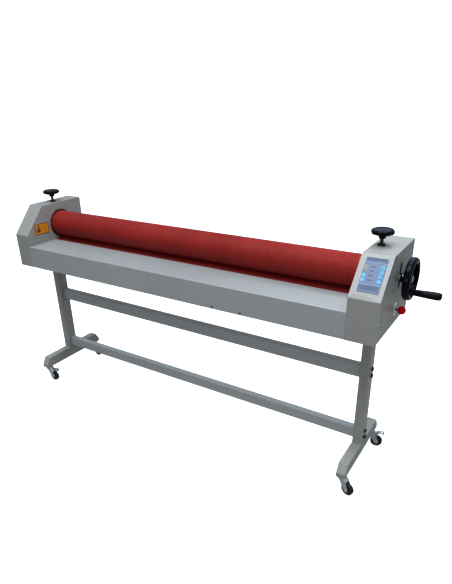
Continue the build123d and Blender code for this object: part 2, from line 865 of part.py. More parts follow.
with BuildPart() as gear_motor:
    flange_depth = right.screw_depth - plate / 2
    with BuildSketch(right.plane(flange_depth)):
        with Locations(pinion_at):
            RectangleRounded(motor_flange, motor_flange, 6)
            with GridLocations(motor_flange - 14, motor_flange - 14, 2, 2):
                Circle(2.5, mode=Mode.SUBTRACT)
    extrude(amount=-5)
    end = flange_depth - 5
    for length, radius in (
        (motor_gearbox_length, motor_gearbox_r),
        (motor_body_length, motor_body_r),
        (6, 12),
    ):
        with BuildSketch(right.plane(end)):
            with Locations(pinion_at):
                Circle(radius)
        extrude(amount=-length)
        end -= length
    with BuildSketch(right.plane(flange_depth)):
        with Locations(pinion_at):
            Circle(5.06)
    extrude(amount=-20, mode=Mode.SUBTRACT)
save(gear_motor, "gear_motor")

with BuildPart() as pivot_pins:
    with BuildSketch(right.plane(right.screw_depth - plate / 2)):
        with Locations(idler_at):
            Circle(5.99)
    extrude(amount=gear_near + gear_width + 4 - right.screw_depth + plate / 2)
    with BuildSketch(right.plane(gear_near + gear_width + 0.5)):
        with Locations(idler_at):
            Circle(9)
    extrude(amount=3.5)
    with BuildSketch(Plane.XZ.offset(-22)):
        with Locations((right.x(pivot_depth), pivot_z)):
            Circle(4.5)
    extrude(amount=-1.9)
    with BuildSketch(Plane.XZ.offset(-22)):
        with Locations((right.x(pivot_depth), pivot_z)):
            Circle(2.98)
    extrude(amount=-37)
save(pivot_pins, "pivot_pins")

with BuildPart() as clutch_sleeve:
    sleeve_near = gear_near + gear_width + 4
    sleeve_far = sleeve_near + 18
    groove = 7.6
    section = Plane(origin=(0, roller_y, lower_z), x_dir=(1, 0, 0), z_dir=(0, 0, 1))
    with BuildSketch(section):
        with BuildLine():
            Polyline(
                (right.x(sleeve_near - clutch_depth), 12.5),
                (right.x(sleeve_near - clutch_depth), clutch_throat_r),
                (right.x(sleeve_near), clutch_mouth_r),
                (right.x(sleeve_near), 20),
                (right.x(pivot_depth - groove / 2), 20),
                (right.x(pivot_depth - groove / 2), 14.5),
                (right.x(pivot_depth + groove / 2), 14.5),
                (right.x(pivot_depth + groove / 2), 20),
                (right.x(sleeve_far), 20),
                (right.x(sleeve_far), 12.5),
                close=True,
            )
        make_face()
    revolve(axis=Axis((0, roller_y, lower_z), (1, 0, 0)))
save(clutch_sleeve, "clutch_sleeve")

with BuildPart() as clutch_lever:
    arm_near = right.x(lever_arm_depth)
    arm_far = right.x(lever_arm_depth + lever_arm_width)
    elbow = right.x(pivot_depth - 4)
    with BuildSketch(Plane.XZ.offset(lever_sheet / 2 - lever_y)):
        with BuildLine():
            Polyline(
                (elbow, pivot_z + 6),
                (arm_far, pivot_z + 6),
                (arm_far, lever_arm_foot),
                (arm_near, lever_arm_foot),
                (arm_near, pivot_z - 5),
                (elbow, pivot_z - 5),
                close=True,
            )
        make_face()
    extrude(amount=-lever_sheet)
    with BuildSketch(Plane.XZ.offset(-27.4)):
        with Locations((right.x(pivot_depth), pivot_z)):
            Circle(6.5)
    extrude(amount=-26.2)
    with BuildSketch(Plane.XY.offset(lower_z + 16)):
        with Locations((right.x(pivot_depth), roller_y)):
            Circle(2.5)
    extrude(amount=pivot_z - lower_z - 16)
    with BuildSketch(right.plane(lever_arm_depth + lever_arm_width / 2)):
        with Locations((lever_y, lever_z)):
            Circle(4)
    extrude(amount=ball_depth - 6 - lever_arm_depth - lever_arm_width / 2)
    with BuildSketch(Plane.XZ.offset(-27)):
        with Locations((right.x(pivot_depth), pivot_z)):
            Circle(3.05)
    extrude(amount=-28, mode=Mode.SUBTRACT)
save(clutch_lever, "clutch_lever")

with BuildPart() as lever_ball:
    with Locations((right.x(ball_depth), lever_y, lever_z)):
        Sphere(ball_r)
    with BuildSketch(right.plane(ball_depth - ball_r + 0.5)):
        with Locations((lever_y, lever_z)):
            Circle(6)
    extrude(amount=2.5)
    with BuildSketch(right.plane(ball_depth - ball_r)):
        with Locations((lever_y, lever_z)):
            Circle(4)
    extrude(amount=ball_r - 6, mode=Mode.SUBTRACT)
save(lever_ball, "lever_ball")

# ---- control panel and keys ------------------------------------------------------------------
key_width = 12.4
key_length = 12.8
keys_at = {
    "forward_key": (key_column, key_rows[0]),
    "stop_key": (key_column, key_rows[1]),
    "reverse_key": (key_column, key_rows[2]),
    "pedal_key": (key_column, key_rows[3]),
    "faster_key": (-28, key_rows[2]),
    "slower_key": (-28, key_rows[3]),
}
overlay = 1.0
with BuildPart() as control_panel:
    with BuildSketch(panel_plane):
        RectangleRounded(panel_width, panel_length, 1.5)
    extrude(amount=overlay)
    with BuildSketch(panel_plane):
        RectangleRounded(*panel_tray, 1.5)
    extrude(amount=-4)
    with BuildSketch(panel_plane.offset(overlay)):
        with Locations(*keys_at.values()):
            RectangleRounded(key_width + 0.6, key_length + 0.6, 2.3)
    extrude(amount=-2.7, mode=Mode.SUBTRACT)
    with BuildSketch(panel_plane.offset(overlay)):
        with Locations(display_at):
            RectangleRounded(*display_size, 1)
    extrude(amount=-0.8, mode=Mode.SUBTRACT)
save(control_panel, "control_panel")

for name, place in keys_at.items():
    with BuildPart() as key:
        with BuildSketch(panel_plane.offset(-0.9)):
            with Locations(place):
                RectangleRounded(key_width, key_length, 2)
        extrude(amount=2.5)
        fillet(key.faces().sort_by(Axis((0, 0, 0), panel_plane.z_dir))[-1].edges(), 0.4)
    save(key, name)


# ---- stand -----------------------------------------------------------------------------------
def leg(side):
    """Square-tube post with a bolting cap, welded on an open-bottomed foot."""
    centre_x, _ = side.span(side.leg_depth, side.leg_depth + leg_width)
    foot_bend = half_depth - foot_nose_run
    with BuildPart() as post:
        with BuildSketch(side.plane(side.leg_depth)):
            with BuildLine():
                Polyline(
                    (-half_depth, foot_z),
                    (-half_depth, foot_nose_z),
                    (-foot_bend, foot_top_z),
                    (foot_bend, foot_top_z),
                    (half_depth, foot_nose_z),
                    (half_depth, foot_z),
                    close=True,
                )
            make_face()
        extrude(amount=out(side, leg_width))
        with BuildSketch(side.plane(side.leg_depth + tube_wall)):
            with BuildLine():
                Polyline(
                    (-half_depth + tube_wall, foot_z),
                    (-half_depth + tube_wall, foot_nose_z - 1),
                    (-foot_bend + 1, foot_top_z - tube_wall),
                    (foot_bend - 1, foot_top_z - tube_wall),
                    (half_depth - tube_wall, foot_nose_z - 1),
                    (half_depth - tube_wall, foot_z),
                    close=True,
                )
            make_face()
        extrude(amount=out(side, leg_width - 2 * tube_wall), mode=Mode.SUBTRACT)
        with BuildSketch(Plane.XY.offset(foot_z)):
            with Locations((centre_x, -caster_y), (centre_x, caster_y)):
                Rectangle(leg_width, 2 * (half_depth - caster_y))
                Circle(5, mode=Mode.SUBTRACT)
        extrude(amount=4)
        with BuildSketch(Plane.XY.offset(foot_top_z)):
            with Locations((centre_x, 0)):
                RectangleRounded(leg_width, post_depth, 2.5)
        extrude(amount=bottom_z - foot_top_z)
        with BuildSketch(Plane.XY.offset(foot_top_z)):
            with Locations((centre_x, 0)):
                Rectangle(leg_width - 2 * tube_wall, post_depth - 2 * tube_wall)
        extrude(amount=bottom_z - 6 - foot_top_z, mode=Mode.SUBTRACT)
        with BuildSketch(Plane.XY.offset(bottom_z - 6)):
            with Locations((side.x(side.leg_bolt_depth), 0)):
                with GridLocations(0, 36, 1, 2):
                    Circle(4)
        extrude(amount=6, mode=Mode.SUBTRACT)
        with BuildSketch(side.plane(side.leg_depth)):
            for low, high in (upper_bar, lower_bar):
                with Locations((crossbar_y, (low + high) / 2)):
                    with GridLocations(0, 2 * bar_bolt_offset, 1, 2):
                        Circle(5.2)
        extrude(amount=out(side, leg_width), mode=Mode.SUBTRACT)
    return post


def crossbar(low, high):
    """Rectangular tube between the posts, with tapped end plates."""
    start = left.x(left.leg_depth)
    length = right.x(right.leg_depth) - start
    centre = (crossbar_y, (low + high) / 2)
    with BuildPart() as bar:
        with BuildSketch(Plane.YZ.offset(start)):
            with Locations(centre):
                RectangleRounded(crossbar_depth, high - low, 3)
        extrude(amount=length)
        with BuildSketch(Plane.YZ.offset(start + crossbar_end)):
            with Locations(centre):
                Rectangle(crossbar_depth - 2 * tube_wall, high - low - 2 * tube_wall)
        extrude(amount=length - 2 * crossbar_end, mode=Mode.SUBTRACT)
        with BuildSketch(Plane.YZ.offset(start)):
            with Locations(centre):
                with GridLocations(0, 2 * bar_bolt_offset, 1, 2):
                    Circle(5)
        extrude(amount=length, mode=Mode.SUBTRACT)
    return bar


for side in sides:
    save(leg(side), f"{side.name}_leg")
save(crossbar(*upper_bar), "upper_crossbar")
save(crossbar(*lower_bar), "lower_crossbar")

with BuildPart() as crossbar_bolts:
    for side in sides:
        outer = side.leg_depth + leg_width
        for low, high in (upper_bar, lower_bar):
            for z in ((low + high) / 2 - bar_bolt_offset, (low + high) / 2 + bar_bolt_offset):
                with BuildSketch(side.plane(outer)):
                    with Locations((crossbar_y, z)):
                        Circle(8)
                        RegularPolygon(4.6, 6, mode=Mode.SUBTRACT)
                extrude(amount=out(side, 6))
                with BuildSketch(side.plane(side.leg_depth - crossbar_end - 4)):
                    with Locations((crossbar_y, z)):
                        Circle(4.98)
                extrude(amount=out(side, leg_width + crossbar_end + 4))
                with BuildSketch(side.plane(outer)):
                    with Locations((crossbar_y, z)):
                        Circle(6)
                extrude(amount=out(side, 1.5))
save(crossbar_bolts, "crossbar_bolts")


# ---- casters ---------------------------------------------------------------------------------
@dataclass(frozen=True)
class Caster:
    """A swivel caster; heading is the direction it trails in, in degrees from +X."""

    name: str
    side: Side
    y: float
    heading: float
    braked: bool

    @property
    def x(self):
        return self.side.x(self.side.leg_depth + leg_width / 2)

    def upright(self, offset):
        """Plane of trail and height, shifted sideways from the wheel's middle."""
        turn = radians(self.heading)
        across = (sin(turn), -cos(turn), 0)
        origin = (self.x + across[0] * offset, self.y + across[1] * offset, 0)
        return Plane(origin=origin, x_dir=(cos(turn), sin(turn), 0), z_dir=across)

    def level(self, height):
        turn = radians(self.heading)
        return Plane(origin=(self.x, self.y, height), x_dir=(cos(turn), sin(turn), 0))


casters = (
    Caster("front_left", left, -caster_y, 5, True),
    Caster("front_right", right, -caster_y, -15, False),
    Caster("rear_left", left, caster_y, -3, False),
    Caster("rear_right", right, caster_y, 14, True),
)
brake_pivot = (17, 60)
tread_plate = 22.0

with BuildPart() as caster_stems:
    for caster in casters:
        for low, high, radius in ((62, 65.5, 10), (65.5, 71, 6), (71, 75.5, 17.5), (80, 100, 4.98)):
            with BuildSketch(caster.level(low)):
                Circle(radius)
            extrude(amount=high - low)
        with BuildSketch(caster.level(75.5)):
            RegularPolygon(9.8, 6)
        extrude(amount=foot_z - 75.5)
save(caster_stems, "caster_stems")


def caster_fork(caster):
    """Swivel head and two cheeks, with the riveted axle as its own solid."""
    cheek_near = caster_tread / 2 + 2
    with BuildPart() as fork:
        with BuildSketch(caster.level(66)):
            Circle(18)
        extrude(amount=4.4)
        for offset in (-cheek_near - 2, cheek_near):
            with BuildSketch(caster.upright(offset)):
                with BuildLine():
                    Polyline(
                        (-12, 70.4),
                        (12, 70.4),
                        (22, 62),
                        (36.3, 28.4),
                        (28, 16),
                        (20.2, 20.4),
                        close=True,
                    )
                make_face()
                with Locations((caster_trail, caster_r)):
                    Circle(9)
            extrude(amount=2)
        if not caster.braked:
            with BuildSketch(caster.upright(-cheek_near)):
                with BuildLine():
                    Polyline(
                        (10, 70.4),
                        (13, 70.4),
                        (23, 62),
                        (25, 56),
                        (23, 56),
                        (21, 61),
                        (10, 68),
                        close=True,
                    )
                make_face()
            extrude(amount=2 * cheek_near)
        with BuildSketch(caster.level(60)):
            Circle(6.06)
        extrude(amount=12, mode=Mode.SUBTRACT)
        with BuildSketch(caster.upright(-cheek_near - 2)):
            with Locations((caster_trail, caster_r)):
                Circle(axle_r)
            if caster.braked:
                with Locations(brake_pivot):
                    Circle(2.06)
        extrude(amount=2 * cheek_near + 4, mode=Mode.SUBTRACT)
    with BuildPart() as axle:
        with BuildSketch(caster.upright(-cheek_near - 2)):
            with Locations((caster_trail, caster_r)):
                Circle(axle_r - 0.02)
        extrude(amount=2 * cheek_near + 4)
        for offset, rise in ((-cheek_near - 2, -1.5), (cheek_near + 2, 1.5)):
            with BuildSketch(caster.upright(offset)):
                with Locations((caster_trail, caster_r)):
                    Circle(6)
            extrude(amount=rise)
    with BuildPart() as both:
        add(fork.part)
        add(axle.part)
    return both


def caster_wheel(caster):
    """Moulded wheel with a rounded tread and dished sides."""
    with BuildPart() as wheel:
        with BuildSketch(caster.upright(-caster_tread / 2)):
            with Locations((caster_trail, caster_r)):
                Circle(caster_r)
        extrude(amount=caster_tread)
        fillet(wheel.edges(), 4)
        for offset, rise in ((-caster_tread / 2, 2.5), (caster_tread / 2, -2.5)):
            with BuildSketch(caster.upright(offset)):
                with Locations((caster_trail, caster_r)):
                    Circle(17)
                    Circle(8, mode=Mode.SUBTRACT)
            extrude(amount=rise, mode=Mode.SUBTRACT)
        with BuildSketch(caster.upright(-caster_tread / 2)):
            with Locations((caster_trail, caster_r)):
                Circle(axle_r + 0.06)
        extrude(amount=caster_tread, mode=Mode.SUBTRACT)
    return wheel


def caster_brake(caster):
    """Foot pedal with a pad above the tread, turning on its own cross pin."""
    with BuildPart() as pedal:
        with BuildSketch(caster.upright(-8.5)):
            with BuildLine():
                Polyline(
                    (14, 57.5),
                    (14, 62.5),
                    (24, 63),
                    (34, 66.6),
                    (34, 61.5),
                    (31, 53),
                    (28, 53),
                    (26, 58),
                    close=True,
                )
            make_face()
        extrude(amount=17)
        with BuildSketch(caster.upright(-tread_plate / 2)):
            with BuildLine():
                Polyline(
                    (24.5, 63.2),
                    (33.5, 68.6),
                    (48, 69.6),
                    (56, 67.6),
                    (58.5, 60.5),
                    (56.3, 60),
                    (54.2, 65.8),
                    (48, 67.4),
                    (34, 66.4),
                    (26, 61.8),
                    close=True,
                )
            make_face()
        extrude(amount=tread_plate)
        with BuildSketch(caster.level(60)):
            with Locations((47, 0)):
                SlotOverall(11, 5, rotation=90)
        extrude(amount=12, mode=Mode.SUBTRACT)
        with BuildSketch(caster.upright(-13)):
            with Locations(brake_pivot):
                Circle(2)
        extrude(amount=26)
    return pedal


for caster in casters:
    save(caster_fork(caster), f"{caster.name}_fork")
    save(caster_wheel(caster), f"{caster.name}_wheel")
    if caster.braked:
        save(caster_brake(caster), f"{caster.name}_brake")
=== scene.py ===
"""Looks for the cold roll laminator: materials, finished mesh pieces, floor, light and camera."""
import json
from math import asin, atan2, cos, pi, radians, sin

import bmesh
import bpy
from mathutils import Matrix, Quaternion, Vector


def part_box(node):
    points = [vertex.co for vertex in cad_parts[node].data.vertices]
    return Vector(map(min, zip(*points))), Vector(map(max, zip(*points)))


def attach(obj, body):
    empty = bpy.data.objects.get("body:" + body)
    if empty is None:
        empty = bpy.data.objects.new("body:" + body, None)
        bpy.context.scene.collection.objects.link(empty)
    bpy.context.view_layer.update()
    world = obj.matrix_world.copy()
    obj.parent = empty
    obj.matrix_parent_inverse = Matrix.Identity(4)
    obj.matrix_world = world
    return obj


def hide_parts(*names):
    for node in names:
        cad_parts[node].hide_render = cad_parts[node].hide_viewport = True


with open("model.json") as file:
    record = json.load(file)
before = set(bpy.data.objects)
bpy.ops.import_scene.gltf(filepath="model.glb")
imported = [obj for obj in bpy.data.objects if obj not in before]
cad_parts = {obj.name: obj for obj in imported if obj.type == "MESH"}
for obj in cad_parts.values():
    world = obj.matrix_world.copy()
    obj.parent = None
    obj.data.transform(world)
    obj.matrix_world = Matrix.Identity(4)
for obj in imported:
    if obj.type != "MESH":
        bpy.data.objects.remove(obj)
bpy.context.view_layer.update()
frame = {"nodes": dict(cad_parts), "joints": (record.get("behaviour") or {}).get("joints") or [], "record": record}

MM = 0.001
scene = bpy.context.scene


# ---- node helpers ---------------------------------------------------------------------------
class Shader:
    """A small wrapper that adds and links shader nodes in one material."""

    def __init__(self, name):
        self.material = bpy.data.materials.new(name)
        self.material.use_nodes = True
        self.tree = self.material.node_tree
        self.bsdf = self.tree.nodes["Principled BSDF"]
        self.coords = self.tree.nodes.new("ShaderNodeTexCoord").outputs["Object"]

    def add(self, kind, inputs=None, **settings):
        node = self.tree.nodes.new(kind)
        for key, value in settings.items():
            setattr(node, key, value)
        for key, value in (inputs or {}).items():
            self.put(node.inputs[key], value)
        return node

    def put(self, socket, value):
        if isinstance(value, bpy.types.NodeSocket):
            self.tree.links.new(value, socket)
        else:
            socket.default_value = value

    def set(self, **values):
        for key, value in values.items():
            self.put(self.bsdf.inputs[key.replace("_", " ")], value)

    def stretched(self, scale):
        """Object coordinates scaled per axis."""
        return self.add("ShaderNodeMapping", {"Vector": self.coords, "Scale": scale}).outputs[0]

    def noise(self, scale, detail=3.0, vector=None, roughness=0.5):
        values = {"Scale": scale, "Detail": detail, "Roughness": roughness}
        values["Vector"] = vector or self.coords
        return self.add("ShaderNodeTexNoise", values).outputs["Fac"]

    def ramp(self, value, stops):
        """Colour ramp; each stop is (position, grey level or rgb)."""
        node = self.add("ShaderNodeValToRGB", {"Fac": value})
        elements = node.color_ramp.elements
        while len(elements) < len(stops):
            elements.new(0.5)
        for element, (position, colour) in zip(elements, stops):
            rgb = (colour,) * 3 if isinstance(colour, (int, float)) else tuple(colour)
            element.position = position
            element.color = rgb + (1.0,)
        return node.outputs["Color"]

    def blend(self, amount, first, second, mode="MIX"):
        node = self.add("ShaderNodeMix", data_type="RGBA", blend_type=mode)
        self.put(node.inputs[0], amount)
        for socket, colour in ((node.inputs[6], first), (node.inputs[7], second)):
            self.put(socket, colour if isinstance(colour, bpy.types.NodeSocket) else (*colour, 1.0))
        return node.outputs[2]

    def maths(self, operation, first, second=0.0):
        node = self.add("ShaderNodeMath", operation=operation)
        self.put(node.inputs[0], first)
        self.put(node.inputs[1], second)
        return node.outputs[0]

    def bump(self, height, strength, distance, normal=None):
        values = {"Height": height, "Strength": strength, "Distance": distance}
        if normal is not None:
            values["Normal"] = normal
        return self.add("ShaderNodeBump", values).outputs["Normal"]

    def edges(self, radius=0.0025):
        """White on convex edges, black on flats: the mask for painted edge highlights and paler edges."""
        bevel = self.add("ShaderNodeBevel", {"Radius": radius}, samples=4).outputs["Normal"]
        plain = self.add("ShaderNodeNewGeometry").outputs["Normal"]
        dot = self.add("ShaderNodeVectorMath", {0: bevel, 1: plain}, operation="DOT_PRODUCT")
        return self.ramp(dot.outputs["Value"], [(0.80, 1.0), (0.995, 0.0)])


# ---- materials ------------------------------------------------------------------------------
def powder_coat(name, tint):
    """Silver-grey powder coat: orange peel, fine mottle, handling marks and bright edges that are a painted
    highlight along the bends.
    """
    s = Shader(name)
    low, high = tuple(0.94 * c for c in tint), tuple(1.02 * c for c in tint)
    cloud = s.ramp(s.noise(2.2, 4.0), [(0.35, low), (0.7, high)])
    mottle = s.ramp(s.noise(190.0, 3.0, roughness=0.6), [(0.38, 0.93), (0.62, 1.05)])
    speckle = s.ramp(s.noise(700.0, 2.0), [(0.40, 0.88), (0.60, 1.06)])
    colour = s.blend(1.0, s.blend(1.0, cloud, mottle, "MULTIPLY"), speckle, "MULTIPLY")
    smudge = s.ramp(s.noise(9.0, 6.0, roughness=0.65), [(0.60, 0.0), (0.78, 0.20)])
    colour = s.blend(smudge, colour, tuple(0.78 * c for c in tint))
    # painted highlight: convex edges lightened towards a pale grey, where light catches the sheet-metal bends
    colour = s.blend(s.maths("MULTIPLY", s.edges(0.0022), 0.65), colour, (0.56, 0.58, 0.60))
    peel = s.bump(s.noise(420.0, 2.0), 0.30, 0.0008)
    dents = s.bump(s.noise(6.0, 1.0), 0.10, 0.004, peel)
    rough = s.ramp(s.noise(14.0, 5.0), [(0.3, 0.40), (0.7, 0.54)])
    s.set(Base_Color=colour, Roughness=rough, Normal=dents, Specular_IOR_Level=0.45)
    s.set(Coat_Weight=0.35, Coat_Roughness=0.18, Coat_Normal=dents)
    return s.material


def red_rubber():
    """Ground silicone rubber: matte, fine rings from the grinder, dust and paler scuffs."""
    s = Shader("red_roller_rubber")
    cloud = s.ramp(s.noise(5.0, 5.0), [(0.3, (0.196, 0.0105, 0.0080)), (0.7, (0.246, 0.0140, 0.0105))])
    rings = s.noise(1.0, 4.0, s.stretched((420.0, 3.0, 3.0)), 0.7)
    colour = s.blend(s.ramp(rings, [(0.45, 0.0), (0.75, 0.25)]), cloud, (0.27, 0.024, 0.019))
    mottle = s.ramp(s.noise(70.0, 4.0, roughness=0.7), [(0.36, 0.84), (0.64, 1.08)])
    colour = s.blend(1.0, colour, mottle, "MULTIPLY")
    dust = s.ramp(s.noise(60.0, 6.0, roughness=0.8), [(0.62, 0.0), (0.80, 0.16)])
    colour = s.blend(dust, colour, (0.32, 0.075, 0.060))
    grain = s.bump(s.noise(1400.0, 2.0), 0.18, 0.0003)
    ground = s.bump(rings, 0.12, 0.0004, grain)
    rough = s.ramp(s.noise(18.0, 4.0), [(0.3, 0.52), (0.7, 0.66)])
    s.set(Base_Color=colour, Roughness=rough, Normal=ground, Specular_IOR_Level=0.12)
    return s.material


def moulded(name, colour, roughness, dust=0.10, grain=0.10, gloss=0.32, sky_sheen=None):
    """Moulded plastic: faint flow marks, fine grain, specks of dust, slightly paler edges.

    The colour given for faces that look up is a bluish painted reflection of the sky laid on them."""
    s = Shader(name)
    paler = tuple(min(1.0, c * 1.6 + 0.002) for c in colour)
    tone = s.blend(s.ramp(s.noise(25.0, 4.0), [(0.4, 0.0), (0.8, 0.6)]), colour, paler)
    specks = s.ramp(s.noise(260.0, 3.0, roughness=0.75), [(0.66, 0.0), (0.80, dust)])
    tone = s.blend(specks, tone, (0.32, 0.31, 0.30))
    tone = s.blend(s.maths("MULTIPLY", s.edges(0.0012), 0.05), tone, (0.20, 0.20, 0.21))
    # painted sky reflection: faces that look up are lightened towards the given bluish colour
    if sky_sheen:
        normal = s.add("ShaderNodeNewGeometry").outputs["Normal"]
        rise = s.add("ShaderNodeSeparateXYZ", {"Vector": normal}).outputs["Z"]
        tone = s.blend(s.ramp(rise, [(0.80, 0.0), (0.99, 1.0)]), tone, sky_sheen)
    low, high = roughness * 0.8, roughness * 1.35
    rough = s.ramp(s.noise(30.0, 5.0), [(0.3, low), (0.7, high)])
    s.set(Base_Color=tone, Roughness=rough, Normal=s.bump(s.noise(700.0, 2.0), grain, 0.0004))
    s.set(Specular_IOR_Level=gloss)
    return s.material


def metal(name, colour, roughness, stretch=(1.0, 1.0, 1.0), tint=None, metallic=1.0):
    """Bare or plated metal with fine working marks along the stretched axis and faint staining."""
    s = Shader(name)
    marks = s.noise(180.0, 4.0, s.stretched(stretch), 0.7)
    stain = s.ramp(s.noise(45.0, 5.0), [(0.35, 0.0), (0.8, 0.5)])
    tone = s.blend(stain, colour, tint or tuple(c * 0.72 for c in colour))
    rough = s.ramp(marks, [(0.3, roughness * 0.75), (0.7, roughness * 1.4)])
    s.set(Base_Color=tone, Metallic=metallic, Roughness=rough, Normal=s.bump(marks, 0.10, 0.0004))
    return s.material


def screw_zinc():
    """Zinc-plated screw heads, with the two in the apron gone dark."""
    s = Shader("screw_zinc")
    stain = s.ramp(s.noise(300.0, 4.0), [(0.35, 0.0), (0.8, 0.5)])
    tone = s.blend(stain, (0.74, 0.76, 0.78), (0.50, 0.52, 0.54))
    y = s.add("ShaderNodeSeparateXYZ", {"Vector": s.coords}).outputs["Y"]
    on_apron = s.maths("LESS_THAN", y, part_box("feed_table")[0].y)
    tone = s.blend(on_apron, tone, (0.020, 0.020, 0.022))
    s.set(Base_Color=tone, Metallic=0.7, Roughness=0.28, Normal=s.bump(s.noise(500.0), 0.08, 0.0003))
    return s.material


def printed_film(name, colour, roughness=0.45):
    """Printed membrane: fine matt texture under a slight gloss, ink mottling."""
    s = Shader(name)
    darker = tuple(c * 0.90 for c in colour)
    tone = s.blend(s.ramp(s.noise(240.0, 3.0), [(0.35, 0.0), (0.7, 1.0)]), colour, darker)
    s.set(Base_Color=tone, Roughness=roughness, Normal=s.bump(s.noise(1600.0, 1.0), 0.08, 0.0002))
    s.set(Specular_IOR_Level=0.3)
    return s.material


def floor_paper():
    """White paper to the camera; it throws back less light on the machine than it shows."""
    s = Shader("studio_paper")
    tone = s.ramp(s.noise(0.8, 3.0), [(0.3, 0.90), (0.7, 0.93)])
    ray = s.add("ShaderNodeLightPath").outputs["Is Camera Ray"]
    s.set(Base_Color=s.blend(ray, (0.27, 0.26, 0.25), tone), Roughness=0.9)
    s.set(Emission_Color=(1.0, 1.0, 1.0, 1.0), Emission_Strength=s.maths("MULTIPLY", ray, 0.84))
    return s.material


materials = {
    "grey_paint": powder_coat("grey_powder_coat", (0.280, 0.272, 0.262)),
    "red_rubber": red_rubber(),
    "black_plastic": moulded(
        "black_phenolic",
        (0.0012, 0.0016, 0.0028),
        0.18,
        dust=0.01,
        gloss=0.08,
        # bluish painted reflection of the sky on the faces that look up
        sky_sheen=(0.018, 0.021, 0.034),
    ),
    "red_plastic": moulded("red_ball_plastic", (0.50, 0.001, 0.005), 0.14, dust=0.01, gloss=0.08),
    "black_steel": metal("black_oxide", (0.035, 0.035, 0.038), 0.42),
    "bright_steel": metal("ground_steel", (0.56, 0.57, 0.58), 0.26, (30.0, 1.0, 1.0)),
    "zinc": metal("bright_zinc", (0.60, 0.63, 0.66), 0.26, tint=(0.62, 0.66, 0.70)),
    "silver_plate": metal("satin_silver", (0.96, 0.96, 0.98), 0.30, (1.0, 20.0, 1.0), metallic=0.0),
    "cast_steel": metal("machined_steel", (0.26, 0.27, 0.28), 0.48),
    "bronze": metal("bearing_bronze", (0.55, 0.36, 0.16), 0.38),
    "panel_film": printed_film("panel_film", (0.134, 0.176, 0.284)),
    "key_blue": printed_film("key_blue", (0.045, 0.360, 0.620), 0.25),
    "motor_paint": moulded("motor_paint", (0.03, 0.032, 0.036), 0.45),
    "black_tread": moulded("caster_black", (0.008, 0.008, 0.009), 0.38, dust=0.2),
}
table_paint = powder_coat("table_powder_coat", (0.318, 0.329, 0.336))
bar_paint = powder_coat("crossbar_powder_coat", (0.370, 0.378, 0.382))
own_finish = {
    "feed_table": table_paint,
    "exit_table": table_paint,
    "upper_crossbar": bar_paint,
    "lower_crossbar": bar_paint,
    "cover_screws": screw_zinc(),
}
slot_of = {entry["node"]: entry["material_slot"] for entry in frame["record"]["subparts"]}


def paint(obj, material):
    """Gives the object this one material."""
    obj.data.materials.clear()
    obj.data.materials.append(material)


# ---- CAD nodes: welded, softly bevelled (both in millimetres), painted ---------------------------
WELD_REACH = 0.02
BEVEL_ANGLE = radians(40)
soft_edge = {"grey_paint": 0.5, "black_steel": 0.4, "zinc": 0.25, "black_plastic": 0.6}
for node, obj in frame["nodes"].items():
    slot = slot_of[node]
    paint(obj, own_finish.get(node, materials[slot]))
    weld = obj.modifiers.new("weld", "WELD")
    weld.merge_threshold = WELD_REACH * MM
    if slot in soft_edge:
        bevel = obj.modifiers.new("bevel", "BEVEL")
        bevel.width = soft_edge[slot] * MM
        bevel.segments = 2
        bevel.limit_method = "ANGLE"
        bevel.angle_limit = BEVEL_ANGLE
        bevel.harden_normals = True

# ---- mesh helpers --------------------------------------------------------------------------------
joints = {joint["name"]: joint for joint in frame["joints"]}


def finish_piece(name, shape, slot, body, replaced=(), sharp=35.0, material=None):
    """Turns a bmesh into a shown piece that rides on a body."""
    bmesh.ops.recalc_face_normals(shape, faces=shape.faces)
    mesh = bpy.data.meshes.new(name)
    shape.to_mesh(mesh)
    shape.free()
    mesh.polygons.foreach_set("use_smooth", [True] * len(mesh.polygons))
    mesh.set_sharp_from_angle(angle=radians(sharp))
    piece = bpy.data.objects.new(name, mesh)
    scene.collection.objects.link(piece)
    paint(piece, material or materials[slot])
    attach(piece, body)
    if replaced:
        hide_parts(*replaced)
    return piece


def rounded(corners, closed=False, steps=4):
    """Points along a path of (x, y, fillet radius) corners, every corner rounded off."""
    points = []
    for index, (x, y, radius) in enumerate(corners):
        here = Vector((x, y))
        at_end = not closed and index in (0, len(corners) - 1)
        if radius == 0 or at_end:
            points.append(here)
            continue
        back = (Vector(corners[index - 1][:2]) - here).normalized()
        ahead = (Vector(corners[(index + 1) % len(corners)][:2]) - here).normalized()
        half = back.angle(ahead) / 2
        centre = here + (back + ahead).normalized() * (radius / sin(half))
        start = here + back * (radius * cos(half) / sin(half)) - centre
        stop = here + ahead * (radius * cos(half) / sin(half)) - centre
        sweep = start.angle_signed(stop)
        for step in range(steps + 1):
            turn = Matrix.Rotation(-sweep * step / steps, 2)
            points.append(centre + turn @ start)
    return points


def lathe(shape, profile, place, segments=64, reach=None):
    """Turns (radius, height) points about the place's Z axis into a closed surface.

    reach(radius, height, angle) may change the radius round the turn."""
    rings = []
    for radius, height in profile:
        if radius < 1e-9:
            rings.append([shape.verts.new(place @ Vector((0, 0, height)))])
            continue
        ring = []
        for step in range(segments):
            angle = 2 * pi * step / segments
            r = reach(radius, height, angle) if reach else radius
            ring.append(shape.verts.new(place @ Vector((r * cos(angle), r * sin(angle), height))))
        rings.append(ring)
    if len(rings[0]) > 1 and len(rings[-1]) > 1:
        rings.append(rings[0])
    for low, high in zip(rings, rings[1:]):
        for step in range(segments):
            after = (step + 1) % segments
            corners = [
                low[step % len(low)],
                low[after % len(low)],
                high[after % len(high)],
                high[step % len(high)],
            ]
            shape.faces.new(dict.fromkeys(corners))
    return shape


def prism(shape, outline, bottom, top, place):
    """A closed slab with the given (x, y) outline between two heights."""
    low = [shape.verts.new(place @ Vector((x, y, bottom))) for x, y in outline]
    high = [shape.verts.new(place @ Vector((x, y, top))) for x, y in outline]
    shape.faces.new(low[::-1])
    shape.faces.new(high)
    for index in range(len(outline)):
        after = (index + 1) % len(outline)
        shape.faces.new((low[index], low[after], high[after], high[index]))
    return shape


